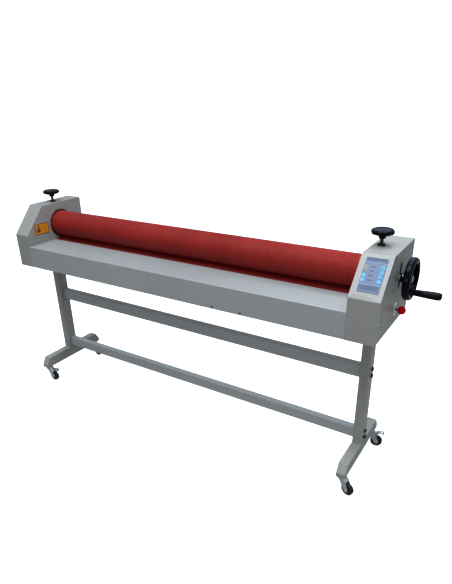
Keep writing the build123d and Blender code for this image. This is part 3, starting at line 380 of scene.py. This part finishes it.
def box_outline(x, y, width, height, radius=0.0, steps=3):
    """Rectangle round (x, y), its corners rounded off by radius."""
    corners = [(x + sx * width / 2, y + sy * height / 2, radius)
               for sx, sy in ((-1, -1), (1, -1), (1, 1), (-1, 1))]
    return rounded(corners, closed=True, steps=steps)


def disc_outline(x, y, radius, steps=24):
    """Many-sided disc round (x, y)."""
    return [
        (x + radius * cos(2 * pi * step / steps), y + radius * sin(2 * pi * step / steps))
        for step in range(steps)
    ]


def axis_frame(origin, axis, up=(0, 0, 1)):
    """Millimetre frame at origin (metres) with Z along axis and Y as near to up as it can be."""
    z = Vector(axis).normalized()
    y = Vector(up) - z * Vector(up).dot(z)
    y = y.normalized() if y.length > 1e-6 else Vector((0, 1, 0))
    x = y.cross(z)
    turn = Matrix((x, y, z)).transposed().to_4x4()
    return Matrix.Translation(Vector(origin)) @ turn @ Matrix.Scale(MM, 4)


def centre_of(node):
    """Middle of a node's box, in metres."""
    low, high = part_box(node)
    return (low + high) / 2


def radius_of(node):
    """Outer radius in millimetres of a node that is round about a level axis."""
    low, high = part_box(node)
    return (high.z - low.z) / 2 / MM


def face_frame(node, normal, up):
    """Frame on the node's outermost flat face in the direction of normal, origin mid-face."""
    normal = Vector(normal).normalized()
    side = Vector(up).cross(normal).normalized()
    points = [vertex.co for vertex in frame["nodes"][node].data.vertices]
    reach = max(point.dot(normal) for point in points)
    face = [point for point in points if reach - point.dot(normal) < 0.05 * MM]
    rise = normal.cross(side)
    middle = normal * reach
    for direction in (side, rise):
        spans = [point.dot(direction) for point in face]
        middle += direction * (min(spans) + max(spans)) / 2
    return axis_frame(middle, normal, up)


# ---- pressure knobs ------------------------------------------------------------------------------
KNOB_LOBES = 8
KNOB_LOBE_DEPTH = 2.6
KNOB_GRIP_START = 0.62
KNOB_SEGMENTS = 144


def knob_profile(radius, bottom, top):
    """Hub below, thin rolled rim above, dished top with a moulded boss in the middle."""
    return rounded(
        [
            (0, bottom, 0),
            (12.0, bottom, 1.2),
            (12.6, bottom + 5, 3),
            (13.4, top - 23, 5),
            (radius - 9, top - 18.5, 6),
            (radius, top - 15, 4.5),
            (radius + 0.2, top - 5.0, 3.6),
            (radius - 6.5, top, 3.2),
            (radius - 14, top - 3.6, 6),
            (12.0, top - 5.2, 2),
            (9.5, top - 5.4, 0.8),
            (9.0, top - 4.2, 0.6),
            (0, top - 4.0, 0),
        ],
        steps=5,
    )


def pressure_knob(side):
    """Knob whose lobes grow from KNOB_GRIP_START of its radius outward."""
    low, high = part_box(f"{side}_pressure_knob")
    radius = (high.x - low.x) / 2 / MM
    middle = Vector(((low.x + high.x) / 2, (low.y + high.y) / 2, 0))

    def lobed(r, height, angle):
        grip = (r / radius - KNOB_GRIP_START) / (1 - KNOB_GRIP_START)
        grip = max(0.0, min(1.0, grip))
        return r - KNOB_LOBE_DEPTH * grip**2 * (0.5 - 0.5 * cos(KNOB_LOBES * angle)) ** 1.6

    shape = bmesh.new()
    profile = knob_profile(radius, low.z / MM, high.z / MM)
    lathe(shape, profile, axis_frame(middle, (0, 0, 1)), KNOB_SEGMENTS, lobed)
    finish_piece(
        f"{side}_knob",
        shape,
        "black_plastic",
        f"{side}_adjuster",
        replaced=[f"{side}_pressure_knob"],
        sharp=60,
    )


pressure_knob("left")
pressure_knob("right")

# ---- handwheel, grip and clutch ball -------------------------------------------------------------
RIM_WIDTH = 26.0
RIM_DEPTH = 20.5
RIM_SEGMENTS = 144
HUB_SEGMENTS = 72
BOSS_SEGMENTS = 48
GRIP_GAP = 1.5
GRIP_SEGMENTS = 72
BALL_SEGMENTS = 64
SPOKES = 3
SPOKE_FOOT = 14.0
SPOKE_SIDES = 20
SPOKE_RINGS = 15
turn_axis = Vector(joints["upper_roller_turn"]["pos_m"])


def along_roller(x):
    """Frame on the upper roller's axis at x metres, pointing out of the machine's right end."""
    return axis_frame((x, turn_axis.y, turn_axis.z), (1, 0, 0))


def handwheel():
    """Rim, three tapering spokes, a long hub and the crank's boss, moulded in one."""
    low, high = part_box("handwheel")
    rim_r = (high.y - low.y) / 2 / MM
    hub_near, rim_far = low.x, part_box("crank_grip")[0].x - GRIP_GAP * MM
    place = along_roller(rim_far - RIM_WIDTH * MM)
    inner = rim_r - RIM_DEPTH
    rim = rounded(
        [
            (inner, 3.5, 3.5),
            (inner + 7, 0, 4.5),
            (rim_r - 4, 0.4, 5.5),
            (rim_r, 7, 6),
            (rim_r, 19, 6),
            (rim_r - 4, RIM_WIDTH, 5.5),
            (inner + 6, RIM_WIDTH, 5.0),
            (inner, RIM_WIDTH - 4.5, 3.5),
        ],
        closed=True,
        steps=5,
    )
    shape = bmesh.new()
    lathe(shape, rim, place, RIM_SEGMENTS)
    hub_length = (rim_far - hub_near) / MM - 7
    hub = rounded(
        [
            (0, 0.2, 0),
            (17.0, 0.2, 1.6),
            (17.5, hub_length * 0.6, 6),
            (15.6, hub_length, 1.8),
            (8.5, hub_length, 0.6),
            (8.5, hub_length - 2.2, 0.3),
            (0, hub_length - 2.2, 0),
        ],
        steps=4,
    )
    lathe(shape, hub, along_roller(hub_near), HUB_SEGMENTS)
    grip = centre_of("crank_grip")
    start = atan2(grip.z - turn_axis.z, grip.y - turn_axis.y)
    for step in range(SPOKES):
        spoke(shape, place, start + 2 * pi * step / SPOKES, SPOKE_FOOT, inner + 4)
    boss_top = RIM_WIDTH + 0.9
    boss = rounded(
        [(0, 8, 0), (12.5, 8, 2), (12.5, RIM_WIDTH - 4, 1), (10.5, boss_top, 1.2), (0, boss_top, 0)],
        steps=4,
    )
    boss_place = axis_frame((place.translation.x, grip.y, grip.z), (1, 0, 0))
    lathe(shape, boss, boss_place, BOSS_SEGMENTS)
    finish_piece(
        "handwheel_moulding",
        shape,
        "black_plastic",
        "upper_roller",
        replaced=["handwheel"],
        sharp=50,
    )


def spoke(shape, place, angle, near, far):
    """Bowed spoke with an oval section that swells towards the hub and the rim."""
    along = place @ Matrix.Rotation(angle, 4, "Z")
    rings = []
    for step in range(SPOKE_RINGS):
        share = step / (SPOKE_RINGS - 1)
        r = near + (far - near) * share
        swell = 1.0 + 0.55 * (2 * share - 1) ** 4
        half_width, half_depth = 8.0 * swell, 5.2 * swell
        rise = RIM_WIDTH / 2 - 1.5 - 3.5 * sin(pi * share)
        ring = []
        for side in range(SPOKE_SIDES):
            a = 2 * pi * side / SPOKE_SIDES
            local = Vector((r, half_width * cos(a), rise + half_depth * sin(a)))
            ring.append(shape.verts.new(along @ local))
        rings.append(ring)
    shape.faces.new(rings[0])
    shape.faces.new(rings[-1])
    for low, high in zip(rings, rings[1:]):
        for side in range(SPOKE_SIDES):
            after = (side + 1) % SPOKE_SIDES
            shape.faces.new((low[side], low[after], high[after], high[side]))


handwheel()


def crank_grip():
    """Turned grip that swells towards a round end, with a counterbore for its bolt."""
    low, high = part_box("crank_grip")
    middle = centre_of("crank_grip")
    length = (high.x - low.x) / MM
    radius = radius_of("crank_grip")
    profile = rounded(
        [
            (4.3, 0, 0),
            (radius - 2.8, 0, 1.0),
            (radius - 2.4, 10, 6),
            (radius - 0.6, 0.55 * length, 60),
            (radius, length - 12, 14),
            (radius - 2.6, length - 1.0, 5.5),
            (7.6, length, 1.2),
            (7.0, length - 2, 0.6),
            (7.0, length - 9, 0.4),
            (4.3, length - 9, 0),
        ],
        steps=6,
    )
    place = axis_frame((low.x, middle.y, middle.z), (1, 0, 0))
    piece = lathe(bmesh.new(), profile, place, GRIP_SEGMENTS)
    finish_piece(
        "crank_grip_moulding", piece, "black_plastic", "grip", replaced=["crank_grip"], sharp=50
    )


crank_grip()


def clutch_ball():
    """Moulded ball with a short neck round the lever's stem."""
    radius, middle = radius_of("lever_ball"), centre_of("lever_ball")
    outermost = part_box("lever_ball")[1].x
    neck, neck_length, steps = 5.2, 0.6, 28
    start = pi - asin(neck / radius)
    arc = [start * (1 - step / steps) for step in range(steps + 1)]
    ball = [(radius * sin(angle), radius * cos(angle)) for angle in arc]
    ball[-1] = (0, radius)
    foot = 1 - radius - neck_length
    profile = [(0, foot), (neck - 0.6, foot)] + ball
    place = axis_frame((outermost - radius * MM, middle.y, middle.z), (1, 0, 0))
    piece = lathe(bmesh.new(), profile, place, BALL_SEGMENTS)
    finish_piece("clutch_ball", piece, "red_plastic", "lever", replaced=["lever_ball"], sharp=40)


clutch_ball()

# ---- rollers -------------------------------------------------------------------------------------
ROLLER_SEGMENTS = 160
ROLLER_STEPS = 96


def rubber_sleeve(body):
    """Ground rubber cover with softened ends and the slightest unevenness along its length."""
    node = f"{body}_rubber"
    low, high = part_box(node)
    middle = centre_of(node)
    length = (high.x - low.x) / MM
    radius, core_r = radius_of(node), radius_of(f"{body}_core")
    profile = [(core_r, 0.0), (radius - 2.0, 0.0), (radius - 0.6, 0.5), (radius - 0.05, 2.0)]
    for step in range(1, ROLLER_STEPS):
        profile.append((radius - 0.05 - 0.04 * sin(step * 2.3), length * step / ROLLER_STEPS))
    profile += [(radius - 0.05, length - 2.0), (radius - 0.6, length - 0.5), (radius - 2.0, length)]
    profile.append((core_r, length))
    place = axis_frame((low.x, middle.y, middle.z), (1, 0, 0))
    sleeve = lathe(bmesh.new(), profile, place, ROLLER_SEGMENTS)
    finish_piece(f"{body}_sleeve", sleeve, "red_rubber", body, replaced=[node], sharp=50)


rubber_sleeve("upper_roller")
rubber_sleeve("lower_roller")

# ---- caster wheels -------------------------------------------------------------------------------
WHEEL_SEGMENTS = 80


def caster_wheel(corner):
    """Moulded wheel: hub, sunk web and rounded tread, the same on both sides."""
    radius = radius_of(f"{corner}_wheel")
    joint = joints[f"{corner}_wheel_turn"]
    side = [
        (4.1, 9.0, 0),
        (7.6, 9.0, 0.8),
        (8.6, 6.6, 0.8),
        (radius - 9.0, 5.6, 1.2),
        (radius - 7.2, 8.5, 0.8),
        (radius - 3.4, 8.8, 1.2),
        (radius - 0.1, 6.2, 2.4),
    ]
    profile = [(x, -y, r) for x, y, r in side] + [(radius, 0.0, 6.0)] + side[::-1]
    place = axis_frame(joint["pos_m"], joint["axis"])
    wheel = lathe(bmesh.new(), rounded(profile), place, WHEEL_SEGMENTS)
    finish_piece(
        f"{corner}_tyre", wheel, "black_tread", f"{corner}_roll", replaced=[f"{corner}_wheel"]
    )


for corner in ("front_left", "front_right", "rear_left", "rear_right"):
    caster_wheel(corner)

# ---- key panel print and display -----------------------------------------------------------------
FILM_WIDTH = 69.0
DISPLAY_X, DISPLAY_Y = -28.5, 26.0
press = Vector(joints["stop_press"]["axis"])
panel = face_frame("control_panel", -press, (0, 0, 1))
ink = {
    "band": printed_film("ink_band", (0.075, 0.108, 0.195)),
    "dark": printed_film("ink_dark", (0.026, 0.032, 0.070)),
    "pale": printed_film("ink_pale", (0.230, 0.290, 0.390)),
    "bezel": printed_film("ink_bezel", (0.110, 0.120, 0.150)),
    "display": printed_film("display_window", (0.230, 0.232, 0.200), 0.40),
    "segment": printed_film("display_segment", (0.200, 0.210, 0.205), 0.2),
    "magenta": printed_film("ink_magenta", (0.420, 0.010, 0.140)),
    "navy": printed_film("ink_navy", (0.012, 0.030, 0.120)),
    "ring": printed_film("ink_ring", (0.230, 0.560, 0.720)),
    "amber": printed_film("label_amber", (0.800, 0.300, 0.012)),
    "maroon": printed_film("label_maroon", (0.190, 0.010, 0.012)),
    "red": printed_film("label_red", (0.340, 0.014, 0.012)),
    "black": printed_film("label_black", (0.012, 0.008, 0.008)),
    "orange": printed_film("label_orange", (0.460, 0.085, 0.010)),
}


def printed(name, outlines, bottom, top, place, colour, body="machine"):
    """Thin printed marks that share one ink."""
    shape = bmesh.new()
    for outline in outlines:
        prism(shape, outline, bottom, top, place)
    finish_piece(name, shape, "panel_film", body, material=ink[colour])


def text_bar(x, y, widths, height, gap=1.1):
    """A row of blocks that stands for a line of words, centred on x."""
    total = sum(widths) + gap * (len(widths) - 1)
    outlines = []
    left = x - total / 2
    for width in widths:
        outlines.append(box_outline(left + width / 2, y, width, height, 0.25))
        left += width + gap
    return outlines


def panel_print():
    """Bands, lines and blocks that stand for the membrane's print."""
    film_low, film_top = -0.02, 0.05
    bands = [box_outline(0, 54.4, FILM_WIDTH, 14.6, 1.0), box_outline(0, -48.4, FILM_WIDTH, 24.0, 1.0)]
    printed("panel_bands", bands, film_low, film_top, panel, "band")
    lines = [box_outline(0, y, FILM_WIDTH, 1.3) for y in (44.6, -34.2)]
    lines += text_bar(15, 50.2, (7, 11, 5), 1.2)
    lines += text_bar(0, -56.4, (12, 8, 14, 9, 11), 1.0)
    printed("panel_lines", lines, film_low, film_top + 0.02, panel, "pale")
    marks = text_bar(1, 56.8, (9, 13, 6, 16, 10), 3.2)
    for row, widths in ((29.0, (6, 9)), (13.6, (5, 7)), (-3.0, (8, 6)), (-19.0, (10, 6))):
        marks += text_bar(-6.4, row + 1.0, widths, 2.2)
        marks += text_bar(-5.4, row - 1.8, (widths[1], widths[0] - 2), 0.9)
    for row, widths in ((-41.0, (14, 9, 17, 8)), (-45.6, (10, 16, 7, 12)), (-50.4, (17, 8, 13, 9))):
        marks += text_bar(0, row, widths, 1.1)
    printed("panel_marks", marks, film_low, film_top + 0.02, panel, "dark")


def display():
    """Sunk window with a frame and three unlit digits."""
    bezel = box_outline(DISPLAY_X, DISPLAY_Y, 12.8, 24.8, 0.8)
    window = box_outline(DISPLAY_X, DISPLAY_Y, 10.6, 22.0, 1.0)
    printed("display_bezel", [bezel], -0.79, -0.45, panel, "bezel")
    printed("display_window", [window], -0.5, -0.12, panel, "display")
    segments = []
    for y in (DISPLAY_Y + 5.0, DISPLAY_Y, DISPLAY_Y - 5.0):
        for x, height, width in ((-2.5, 3.6, 0.8), (2.1, 3.6, 0.8), (-0.2, 0.8, 3.4)):
            segments.append(box_outline(DISPLAY_X + x, y, width, height, 0.2))
    printed("display_segments", segments, -0.14, -0.09, panel, "segment")


panel_print()
display()


def key_mark(key, colour, outlines):
    """Plain symbol on one membrane key."""
    top = face_frame(f"{key}_key", -press, (0, 0, 1))
    printed(f"{key}_mark", outlines, -0.02, 0.04, top, colour, f"{key}_button")


key_mark("forward", "navy", [[(-2.6, -2.8), (2.8, -2.8), (0.6, 2.4), (-0.6, 2.4)]])
key_mark("stop", "magenta", [disc_outline(0, 0, 2.4)])
key_mark("reverse", "navy", [disc_outline(0, 0, 2.2)])
key_mark("pedal", "ring", [disc_outline(0, 0, 1.6)])
plus = [box_outline(0, 0, 4.4, 1.2), box_outline(0, 1.6, 1.2, 1.4), box_outline(0, -1.6, 1.2, 1.4)]
key_mark("faster", "ring", plus)
key_mark("slower", "ring", [box_outline(0, 0, 4.4, 1.2)])

# ---- plain label plate on the left cabinet -------------------------------------------------------
PLATE_Y, PLATE_Z = -0.077, 0.818
PLATE_TILT = radians(-2.5)
FIGURE_X, WORDS_X = -20.0, 19.0


def label_plate():
    """Amber plate with a red edge, a round pictogram and blocks in place of its words."""
    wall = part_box("left_cabinet_shell")[1].x
    place = axis_frame((wall, PLATE_Y, PLATE_Z), (1, 0, 0)) @ Matrix.Rotation(PLATE_TILT, 4, "Z")
    printed("plate_edge", [box_outline(0, 0, 86, 52, 2.5)], 0.0, 0.25, place, "maroon")
    printed("plate_face", [box_outline(0, 0, 78, 44, 1.5)], 0.2, 0.32, place, "amber")
    printed("plate_rings", [disc_outline(FIGURE_X, 0, 18.0, 40)], 0.28, 0.38, place, "red")
    printed("plate_disc", [disc_outline(FIGURE_X, 0, 13.5, 40)], 0.34, 0.44, place, "amber")
    figure = [disc_outline(FIGURE_X, 7.0, 5.0, 20), box_outline(FIGURE_X, -4.0, 12.0, 14.0, 3.0)]
    figure.append(box_outline(FIGURE_X, -9.0, 20.0, 5.0, 1.8))
    printed("plate_figure", figure, 0.40, 0.50, place, "black")
    words = []
    for row, widths in ((15, (12, 16)), (8.5, (18, 9)), (2, (9, 7, 10)), (-4.5, (15, 12)),
                        (-11, (8, 18)), (-16.5, (20,))):
        words += text_bar(WORDS_X, row, widths, 2.9, 1.6)
    printed("plate_words", words, 0.28, 0.38, place, "orange")


label_plate()

# ---- floor, light and camera ---------------------------------------------------------------------
FLOOR_RADIUS = 60.0
SKY_LOW = (0.034, 0.033, 0.031)
SKY_HIGH = (0.78, 0.92, 1.02)


def studio_floor():
    """Plain round floor, wide enough to fill the view."""
    mesh = bpy.data.meshes.new("floor")
    shape = bmesh.new()
    bmesh.ops.create_circle(shape, cap_ends=True, segments=64, radius=FLOOR_RADIUS)
    shape.to_mesh(mesh)
    shape.free()
    floor = bpy.data.objects.new("floor", mesh)
    scene.collection.objects.link(floor)
    paint(floor, floor_paper())


def area_light(
    name, place, target, width, height, power, colour=(1.0, 1.0, 1.0), glossy=True, spread=180.0
):
    """Soft rectangular light aimed at target. Sizes and places are in metres, power in watts."""
    data = bpy.data.lights.new(name, "AREA")
    data.spread = radians(spread)
    data.shape = "RECTANGLE"
    data.size = width
    data.size_y = height
    data.energy = power
    data.color = colour
    light = bpy.data.objects.new(name, data)
    light.location = place
    light.rotation_mode = "QUATERNION"
    light.rotation_quaternion = (Vector(target) - Vector(place)).to_track_quat("-Z", "Y")
    light.visible_camera = False
    light.visible_glossy = glossy
    scene.collection.objects.link(light)


def studio_world():
    """White behind the object for the camera; for everything else a sky that is bright overhead."""
    world = bpy.data.worlds.new("studio")
    world.use_nodes = True
    tree = world.node_tree
    coords = tree.nodes.new("ShaderNodeTexCoord")
    height = tree.nodes.new("ShaderNodeSeparateXYZ")
    sky = tree.nodes.new("ShaderNodeValToRGB")
    ray = tree.nodes.new("ShaderNodeLightPath").outputs["Is Camera Ray"]
    colour = tree.nodes.new("ShaderNodeMix")
    colour.data_type = "RGBA"
    sky.color_ramp.elements[0].color = (*SKY_LOW, 1.0)
    sky.color_ramp.elements[1].color = (*SKY_HIGH, 1.0)
    tree.links.new(coords.outputs["Generated"], height.inputs[0])
    tree.links.new(height.outputs["Z"], sky.inputs[0])
    tree.links.new(ray, colour.inputs[0])
    tree.links.new(sky.outputs[0], colour.inputs[6])
    colour.inputs[7].default_value = (1.0, 1.0, 1.0, 1.0)
    tree.links.new(colour.outputs[2], tree.nodes["Background"].inputs["Color"])
    scene.world = world


studio_floor()
studio_world()
area_light(
    "key",
    place=(0.0, -1.0, 3.9),
    target=(0.0, 0.0, 0.7),
    width=3.4,
    height=1.7,
    power=120,
    colour=(0.93, 0.97, 1.0),
)
area_light(
    "rear",
    place=(0.3, 3.2, 2.3),
    target=(0.2, 0.0, 0.8),
    width=3.0,
    height=1.2,
    power=46,
    colour=(0.80, 0.92, 1.0),
    glossy=False,
)
area_light(
    "front",
    place=(0.7, -2.2, 1.15),
    target=(0.4, 0.0, 0.6),
    width=1.2,
    height=0.5,
    power=5.5,
    colour=(1.0, 0.95, 0.89),
)
area_light(
    "right",
    place=(3.4, -0.2, 1.3),
    target=(0.8, 0.0, 0.6),
    width=1.6,
    height=1.2,
    power=5,
)
area_light(
    "top_right",
    place=(0.72, 0.5, 2.2),
    target=(0.77, 0.03, 0.92),
    width=0.6,
    height=0.6,
    power=1.5,
    colour=(0.84, 0.94, 1.0),
    glossy=False,
    spread=45,
)
scene.view_settings.view_transform = "Standard"

CAMERA_PLACE = (1.2323, -1.7113, 1.4538)
CAMERA_TURN = radians(34.13)
CAMERA_TILT = radians(64.124)
CAMERA_ROLL = radians(-1.886)
CAMERA_LENS = 31.91
CAMERA_SHIFT = (0.0213, 0.0675)


def set_camera():
    """Camera in front of the right end, looking down along the rollers."""
    data = bpy.data.cameras.new("camera")
    data.lens = CAMERA_LENS
    data.sensor_width = 36.0
    data.shift_x, data.shift_y = CAMERA_SHIFT
    data.clip_end = 200.0
    camera = bpy.data.objects.new("camera", data)
    camera.location = CAMERA_PLACE
    camera.rotation_mode = "QUATERNION"
    turn = Quaternion((0, 0, 1), CAMERA_TURN)
    tilt = Quaternion((1, 0, 0), CAMERA_TILT)
    roll = Quaternion((0, 0, 1), CAMERA_ROLL)
    camera.rotation_quaternion = turn @ tilt @ roll
    scene.collection.objects.link(camera)
    scene.camera = camera


set_camera()
